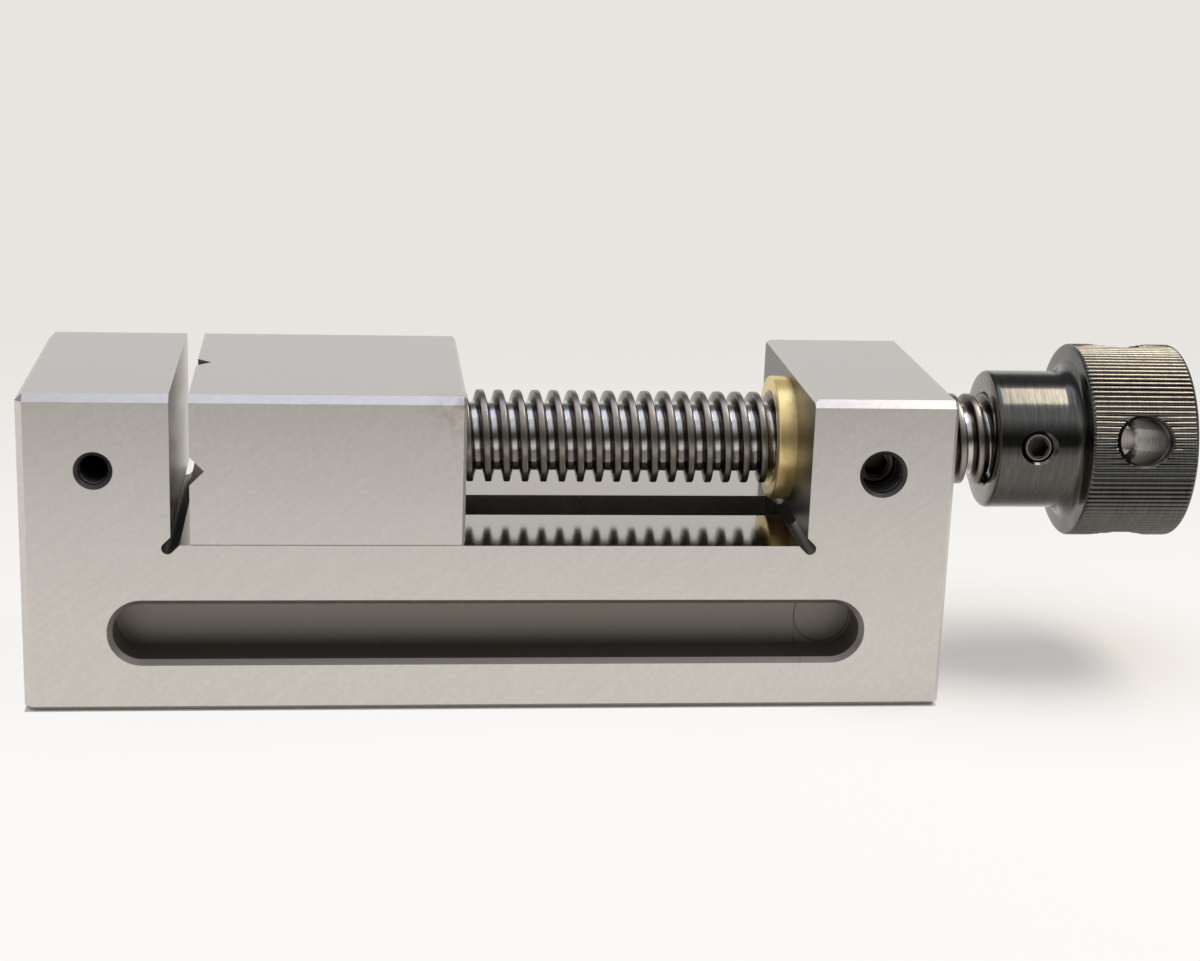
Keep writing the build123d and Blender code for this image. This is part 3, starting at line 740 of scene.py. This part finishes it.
class VISE_OT_lead_screw(bpy.types.Operator):
    """Cut the thread on the lead screw"""

    bl_idname = "vise.lead_screw"
    bl_label = "Lead Screw"

    def execute(self, context):
        sizes = context.scene.vise_thread
        knob = context.scene.vise_knob
        start = JAW_HIGH.x + sizes.shoulder
        bm = thread_skin(start, SCREW_HIGH.x, sizes, 0)

        # Bevelled start, and the flat under the knob's set screw
        flat_middle = KNOB_LOW.x + knob.set_from_hub
        outwards = side_direction(knob.set_angle)
        for vert in bm.verts:
            over = Vector((0, vert.co.y, vert.co.z)).dot(outwards) - knob.set_flat
            held_within(vert, CREST_RADIUS - max(0, sizes.start_bevel - (vert.co.x - start)))
            if over > 0 and abs(vert.co.x - flat_middle) < knob.flat_length / 2:
                vert.co -= outwards * over

        # Nose with its round seat for the ball, and the neck that the pins hold
        nose_radius, nose_bevel, neck_radius = 8.0 * MM, 0.8 * MM, 5.2 * MM
        neck_left, neck_right = JAW_HIGH.x - 12.2 * MM, JAW_HIGH.x - 7.63 * MM
        ball_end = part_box("thrust_ball")[1].x
        thread_verts = set(bm.verts)
        verts = draw_profile(bm, [
            (ball_end + 0.02 * MM, 0), (ball_end - 0.5 * MM, 1.72 * MM), (SCREW_LOW.x, 3.1 * MM),
            (SCREW_LOW.x, nose_radius), (neck_left, nose_radius), (neck_left, neck_radius),
            (neck_right, neck_radius), (neck_right, nose_radius), (start, nose_radius), (start, 0),
        ])
        round_corners(bm, [verts[3]], nose_bevel, 1)
        profile = [vert for vert in bm.verts if vert not in thread_verts]
        profile += [edge for edge in bm.edges if not edge.link_faces]
        turn(bm, profile, 64)
        nose = [vert for vert in bm.verts if vert not in thread_verts]
        bmesh.ops.remove_doubles(bm, verts=nose, dist=MERGE_DISTANCE)
        bmesh.ops.recalc_face_normals(bm, faces=bm.faces)
        raise_to_axis(bm)
        steel = turned_steel("Bright turned steel", context.scene.vise_finish)
        new_piece("lead_screw_threaded", bm, "spindle", [steel], ["lead_screw"])
        return {"FINISHED"}


class VISE_OT_lead_nut(bpy.types.Operator):
    """Turn the brass lead nut and tap its thread"""

    bl_idname = "vise.lead_nut"
    bl_label = "Lead Nut"

    def execute(self, context):
        sizes = context.scene.vise_thread
        body_radius, edge, lead_in_depth = 15.875 * MM, 0.6 * MM, 3 * MM
        bm = bmesh.new()
        verts = draw_profile(bm, [
            (NUT_LOW.x, 0), (NUT_LOW.x, FLANGE_RADIUS), (BLOCK_FACE, FLANGE_RADIUS),
            (BLOCK_FACE, body_radius), (NUT_HIGH.x, body_radius), (NUT_HIGH.x, 0),
        ])
        round_corners(bm, [verts[1]], edge, 3)
        round_corners(bm, [verts[4]], edge, 1)
        turn_profile(bm, 128)
        raise_to_axis(bm)
        brass = turned_brass("Turned brass", context.scene.vise_finish)
        nut = new_piece("lead_nut_tapped", bm, "base", [brass], ["lead_nut"])

        tap = thread_skin(NUT_LOW.x - PAST_FACE, NUT_HIGH.x + PAST_FACE, sizes, sizes.nut_play)
        raise_to_axis(tap)
        mouth = CREST_RADIUS + sizes.nut_play + edge
        outside, inside = NUT_LOW.x - PAST_FACE, NUT_LOW.x + lead_in_depth
        lead_in = turned_cutter(
            "lead_in",
            [(outside, 0), (outside, mouth + PAST_FACE), (inside, mouth - lead_in_depth), (inside, 0)],
            96, Matrix.Translation((0, 0, AXIS_HEIGHT)),
        )
        cut_away(nut, [new_object("tap", tap, ()), lead_in])
        return {"FINISHED"}


class VISE_OT_hand_knob(bpy.types.Operator):
    """Turn, knurl and drill the hand knob"""

    bl_idname = "vise.hand_knob"
    bl_label = "Hand Knob"

    def execute(self, context):
        sizes = context.scene.vise_knob
        finish = context.scene.vise_finish
        head_face = KNOB_LOW.x + sizes.hub_length
        straight = 0.3 * MM  # straight ends of the hub, which keep its shading level
        bm = bmesh.new()
        verts = draw_profile(bm, [
            (KNOB_LOW.x, 0),
            (KNOB_LOW.x, sizes.hub_radius),
            (KNOB_LOW.x + sizes.hub_chamfer + straight, sizes.hub_radius),
            (head_face - sizes.head_fillet - straight, sizes.hub_radius),
            (head_face, sizes.hub_radius), (head_face, HEAD_RADIUS),
            (KNOB_HIGH.x, HEAD_RADIUS), (KNOB_HIGH.x, 0),
        ])
        for corner, radius, segments in (
            (verts[1], sizes.hub_chamfer, 3), (verts[4], sizes.head_fillet, 8),
            (verts[5], sizes.head_edge, 4), (verts[6], sizes.head_end_edge, 5),
        ):
            round_corners(bm, [corner], radius, segments)
        turn_profile(bm, 4 * sizes.teeth)

        # Straight knurl: four lines make a tooth, one in the bottom of the groove, one along the
        # crest and one on each shoulder
        shoulder = 0.22
        line_radii = [
            HEAD_RADIUS - share * sizes.tooth_depth for share in (1, shoulder, 0, shoulder)
        ]
        line_angle = math.pi / (2 * sizes.teeth)
        for vert in bm.verts:
            line = round(math.atan2(vert.co.z, vert.co.y) / line_angle) % 4
            if vert.co.x > head_face - PAST_FACE:
                held_within(vert, line_radii[line])
        bmesh.ops.recalc_face_normals(bm, faces=bm.faces)
        raise_to_axis(bm)

        oxide = black_oxide("Black oxide steel, worn knurl, painted highlight", finish, sizes.tooth_depth)
        drilled = drilled_steel("Drilled blacked steel", finish)
        knob = new_piece(
            "hand_knob_knurled", bm, "spindle", [oxide], ["hand_knob"]
        )

        # Bore for the screw, the two crossed bar holes and the set screw's hole
        bore, bore_bevel = CREST_RADIUS + 0.03 * MM, 0.8 * MM
        outside, bore_end = KNOB_LOW.x - PAST_FACE, KNOB_LOW.x + sizes.bore_depth
        cutters = [turned_cutter(
            "bore",
            [(outside, 0), (outside, bore + bore_bevel + PAST_FACE),
             (KNOB_LOW.x + bore_bevel, bore), (bore_end, bore), (bore_end, 0)],
            96, Matrix.Translation((0, 0, AXIS_HEIGHT)), [oxide],
        )]
        past_head = 2 * PAST_FACE
        reach = HEAD_RADIUS + past_head
        wide = sizes.bar_radius + sizes.bar_chamfer + past_head
        wall = HEAD_RADIUS - sizes.bar_chamfer
        bar_place = (head_face + sizes.bar_from_head, 0, AXIS_HEIGHT)
        for number in range(2):
            cutters.append(turned_cutter(
                f"bar_hole_{number}",
                [(-reach, 0), (-reach, wide), (-wall, sizes.bar_radius), (wall, sizes.bar_radius),
                 (reach, wide), (reach, 0)],
                72, turned_to(side_direction(sizes.bar_angle + number * math.pi / 2), bar_place),
                [drilled],
            ))
        seat = sizes.set_flat - PAST_FACE
        mouth = sizes.hub_radius - sizes.set_chamfer
        beyond = sizes.hub_radius + PAST_FACE
        set_place = (KNOB_LOW.x + sizes.set_from_hub, 0, AXIS_HEIGHT)
        cutters.append(turned_cutter(
            "set_screw_hole",
            [(seat, 0), (seat, sizes.set_radius), (mouth, sizes.set_radius),
             (beyond, sizes.set_radius + sizes.set_chamfer + PAST_FACE), (beyond, 0)],
            48, turned_to(side_direction(sizes.set_angle), set_place), [oxide],
        ))
        cut_away(knob, cutters)
        return {"FINISHED"}


class VISE_OT_tapped_holes(bpy.types.Operator):
    """Put threads in the stop hole and the lock screw hole"""

    bl_idname = "vise.tapped_holes"
    bl_label = "Tapped Holes"

    def execute(self, context):
        # Painted shade: the threads inside the holes take the darker tapped colour
        steel = hardened_steel("Tapped steel, painted shade", context.scene.vise_finish.tapped)
        below_mouth, in_wall, ridge_height = 1.1 * MM, 0.06 * MM, 0.42 * MM
        ridge_start, ridge_end, foot_end = 0.33, 0.52, 0.85  # shares of the pitch
        lock_depth = LOCK_LOW.y - BODY_LOW.y - 0.3 * MM
        for name, x, radius, pitch, depth in (
            ("stop_hole_thread", STOP_X, STOP_RADIUS, 1.5875 * MM, 16 * MM),
            ("lock_hole_thread", LOCK_X, LOCK_RADIUS, 1.954 * MM, lock_depth),
        ):
            turns = int((depth - below_mouth) / pitch - 0.8)
            foot, ridge = radius + in_wall, radius - ridge_height
            bm = bmesh.new()
            verts = draw_profile(bm, [
                (0, foot), (ridge_start * pitch, ridge), (ridge_end * pitch, ridge),
                (foot_end * pitch, foot),
            ])
            bm.edges.new((verts[-1], verts[0]))
            sweep_thread(bm, pitch, turns, 48)
            open_edges = [edge for edge in bm.edges if len(edge.link_faces) == 1]
            bmesh.ops.holes_fill(bm, edges=open_edges, sides=0)
            bmesh.ops.recalc_face_normals(bm, faces=bm.faces)
            place = turned_to(Vector((0, 1, 0)), (x, BODY_LOW.y + below_mouth, AXIS_HEIGHT))
            bmesh.ops.transform(bm, matrix=place, verts=bm.verts)
            new_piece(name, bm, "base", [steel])
        return {"FINISHED"}


class VISE_OT_fasteners(bpy.types.Operator):
    """Finish the socket screws"""

    bl_idname = "vise.fasteners"
    bl_label = "Socket Screws"

    def execute(self, context):
        finish = context.scene.vise_finish
        knob = context.scene.vise_knob
        set_screw_radius, lock_screw_radius = 4.05 * MM, 5.4 * MM
        outwards = side_direction(knob.set_angle)
        on_axis = Vector((KNOB_LOW.x + knob.set_from_hub, 0, AXIS_HEIGHT))
        screws = [
            ("knob_set_screw", "Oiled black set screw", on_axis + knob.set_face * outwards, outwards,
             set_screw_radius),
            ("nut_lock_screw", "Oiled black lock screw", (LOCK_X, LOCK_LOW.y, AXIS_HEIGHT),
             (0, -1, 0), lock_screw_radius),
        ]
        for node_name in ("keeper_screw_front", "keeper_screw_rear"):
            low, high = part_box(node_name)
            face = ((low.x + high.x) / 2, (low.y + high.y) / 2, low.z)
            screws.append(
                (node_name, "Oiled black cap screw", face, (0, 0, -1), (high.x - low.x) / 2)
            )
        for node_name, name, face, direction, radius in screws:
            dress(node_name, black_screw(name, finish, face, direction, radius))
        return {"FINISHED"}


class VISE_OT_hidden_parts(bpy.types.Operator):
    """Finish the tongue, the keeper and the parts inside the moving jaw"""

    bl_idname = "vise.hidden_parts"
    bl_label = "Tongue, Keeper and Pins"

    def execute(self, context):
        steel = hardened_steel("Hardened and ground steel", context.scene.vise_finish.hardened)
        for part in frame["record"]["subparts"]:
            if part["material_slot"] == "hardened_steel":
                dress(part["node"], steel)
        return {"FINISHED"}


class VISE_OT_stage(bpy.types.Operator):
    """Set up the floor, the soft lamps, the surroundings and the camera"""

    bl_idname = "vise.stage"
    bl_label = "Stage"

    def execute(self, context):
        stage = context.scene.vise_stage
        context.scene.view_settings.view_transform = "Standard"
        self.lay_floor(stage)
        self.light_room(context.scene, stage)
        for name, middle, size, light_colour, strength in (
            ("overhead_lamp", (0.13, 0.02), (0.5, 0.36), stage.lamp_colour, stage.lamp_strength),
            ("knob_lamp", (0.48, 0.01), (0.25, 0.32), stage.knob_lamp_colour,
             stage.knob_lamp_strength),
        ):
            self.hang_lamp(name, (*middle, stage.lamp_height), size, light_colour, strength)
        self.place_camera(context.scene, stage)
        return {"FINISHED"}

    def brighter_from(self, tree, place, middle, near, far, least):
        """Brightness that rises from its least near a place on the floor to 1 far from it."""
        away = add_node(
            tree, "VectorMath", {1: middle}, {0: place}, output="Value", operation="DISTANCE"
        )
        return add_node(
            tree, "MapRange", {"From Min": near, "From Max": far, "To Min": least},
            {"Value": away}, interpolation_type="SMOOTHSTEP",
        )

    def lay_floor(self, stage):
        """Pale floor that takes the vise's shadow near by, and is plain and bright beyond."""
        # Paper: matt and pale, it mirrors nothing and shows soft shadows beside the vise.
        material, tree, place = new_material("Pale paper floor")
        under_vise, under_knob = (0.12, 0, 0), (0.245, 0.005, 0)
        beyond = self.brighter_from(tree, place, under_vise, 0.2, 0.5, 0.9)
        clear = self.brighter_from(tree, place, under_knob, 0.02, 0.1, 0.3)
        axes = add_node(tree, "SeparateXYZ", links={"Vector": place}, output="X").node.outputs
        half_length = (BODY_HIGH.x - BODY_LOW.x) / 2
        covered = within(
            tree, (axes["X"], BODY_LOW.x + half_length, half_length), (axes["Y"], 0, BODY_HIGH.y)
        )
        open_floor = add_node(tree, "Math", {0: 1.0}, {1: covered}, operation="SUBTRACT")
        back = add_node(
            tree, "MapRange", {"From Min": -0.1, "From Max": 0.45}, {"Value": axes["Y"]},
            interpolation_type="SMOOTHSTEP",
        )
        glow_colour = add_node(
            tree, "Mix", {6: (*stage.near_floor, 1), 7: (*stage.far_floor, 1)}, {0: back},
            output=2, data_type="RGBA",
        )
        rays = add_node(tree, "LightPath", output="Is Camera Ray").node.outputs
        seen = add_node(
            tree, "Math", links={0: rays["Is Camera Ray"], 1: rays["Is Glossy Ray"]},
            operation="MAXIMUM",
        )
        front = add_node(
            tree, "MapRange",
            {"From Min": -0.45, "From Max": -0.22, "To Min": 0.46, "To Max": 0.99},
            {"Value": axes["Y"]},
        )
        strength = add_node(
            tree, "Math", links={0: front, 1: rays["Is Camera Ray"]}, operation="MAXIMUM"
        )
        share = seen
        for factor in (beyond, clear, open_floor):
            share = add_node(tree, "Math", links={0: share, 1: factor}, operation="MULTIPLY")
        paper = add_node(
            tree, "BsdfPrincipled",
            {"Base Color": (*stage.floor, 1), "Roughness": 0.9, "Specular IOR Level": 0.1},
        )
        glow = add_node(tree, "Emission", links={"Color": glow_colour, "Strength": strength})
        surface = add_node(tree, "MixShader", links={"Fac": share, 1: paper, 2: glow})
        add_node(tree, "OutputMaterial", links={"Surface": surface})
        bm = bmesh.new()
        bmesh.ops.create_circle(bm, cap_ends=True, segments=96, radius=9)
        new_object("floor", bm, [material])

    def light_room(self, scene, stage):
        """Room in bands along X, from a dim front over a pale ceiling to the backdrop, so that
        round metal shows bands."""
        world = bpy.data.worlds.new("studio")
        world.use_nodes = True
        scene.world = world
        tree = world.node_tree
        tree.nodes.clear()
        direction = add_node(tree, "TexCoord", output="Generated")
        axes = add_node(tree, "SeparateXYZ", links={"Vector": direction}, output="Y").node.outputs
        front = add_node(tree, "Math", {1: -1.0}, {0: axes["Y"]}, operation="MULTIPLY")
        height = add_node(tree, "Math", links={0: axes["Z"], 1: front}, operation="ARCTAN2")
        half_turn = add_node(tree, "MapRange", {"From Max": math.pi}, {"Value": height})
        bands = add_node(tree, "ValToRGB", links={"Fac": half_turn})
        stops = bands.node.color_ramp.elements
        stops[0].color = (*linear(ROOM_FRONT), 1)
        stops[1].color = (*linear(ROOM_BACK), 1)
        for degrees, shade in ROOM_BANDS:
            stops.new(degrees / 180).color = (*linear(shade), 1)
        room = add_node(tree, "Background", links={"Color": bands})
        plain = add_node(tree, "Background", {"Color": (*stage.far_floor, 1)})
        camera_ray = add_node(tree, "LightPath", output="Is Camera Ray")
        shown = add_node(tree, "MixShader", links={"Fac": camera_ray, 1: room, 2: plain})
        add_node(tree, "OutputWorld", links={"Surface": shown})

    def hang_lamp(self, name, middle, size, light_colour, strength):
        """A soft rectangular lamp that faces down, with a face of a given brightness."""
        lamp = bpy.data.lights.new(name, "AREA")
        lamp.shape = "RECTANGLE"
        lamp.size, lamp.size_y = size
        lamp.energy = strength * math.pi * size[0] * size[1]
        lamp.color = light_colour
        hung = bpy.data.objects.new(name, lamp)
        hung.location = middle
        bpy.context.scene.collection.objects.link(hung)

    def place_camera(self, scene, stage):
        """Camera at the photograph's place, with its yaw, pitch and roll."""
        yaw, pitch, roll = stage.camera_turn
        forward = Vector(
            (math.sin(yaw) * math.cos(pitch), math.cos(yaw) * math.cos(pitch), -math.sin(pitch))
        )
        level_right = Vector((math.cos(yaw), -math.sin(yaw), 0))
        level_up = level_right.cross(forward)
        right = math.cos(roll) * level_right + math.sin(roll) * level_up
        up = math.cos(roll) * level_up - math.sin(roll) * level_right
        lens = bpy.data.cameras.new("camera")
        lens.sensor_fit = "HORIZONTAL"
        lens.sensor_width = 36
        lens.lens = stage.lens
        lens.clip_start, lens.clip_end = 0.01, 50
        camera = bpy.data.objects.new("camera", lens)
        facing = Matrix((right, up, -forward)).transposed().to_4x4()
        camera.matrix_world = Matrix.Translation(Vector(stage.camera_place)) @ facing
        scene.collection.objects.link(camera)
        scene.camera = camera


GROUPS = {
    "vise_thread": ViseThreadProperties,
    "vise_knob": ViseKnobProperties,
    "vise_finish": ViseFinishProperties,
    "vise_stage": ViseStageProperties,
}
OPERATORS = (
    VISE_OT_stage, VISE_OT_ground_steel, VISE_OT_lead_screw, VISE_OT_lead_nut,
    VISE_OT_hand_knob, VISE_OT_tapped_holes, VISE_OT_fasteners, VISE_OT_hidden_parts,
)


class VISE_PT_panel(bpy.types.Panel):
    """Lists the sizes and colours of the vise, and the operators that make its pieces"""

    bl_idname = "VISE_PT_panel"
    bl_label = "Toolmaker's Vise"
    bl_space_type = "VIEW_3D"
    bl_region_type = "UI"
    bl_category = "Vise"

    def draw(self, context):
        for group_name, group in GROUPS.items():
            box = self.layout.box()
            box.label(text=group.__doc__)
            for setting in group.__annotations__:
                box.prop(getattr(context.scene, group_name), setting)
        for operator in OPERATORS:
            self.layout.operator(operator.bl_idname)


def register():
    """Adds the classes and the scene's settings."""
    for group_name, group in GROUPS.items():
        bpy.utils.register_class(group)
        setattr(bpy.types.Scene, group_name, bpy.props.PointerProperty(type=group))
    for operator in OPERATORS:
        bpy.utils.register_class(operator)
    bpy.utils.register_class(VISE_PT_panel)


def unregister():
    """Removes what register added."""
    bpy.utils.unregister_class(VISE_PT_panel)
    for operator in reversed(OPERATORS):
        bpy.utils.unregister_class(operator)
    for group_name, group in GROUPS.items():
        delattr(bpy.types.Scene, group_name)
        bpy.utils.unregister_class(group)


def main():
    """Makes the stage and every piece."""
    register()
    bpy.ops.vise.stage()
    bpy.ops.vise.ground_steel()
    bpy.ops.vise.lead_screw()
    bpy.ops.vise.lead_nut()
    bpy.ops.vise.hand_knob()
    bpy.ops.vise.tapped_holes()
    bpy.ops.vise.fasteners()
    bpy.ops.vise.hidden_parts()


if __name__ == "__main__":
    main()
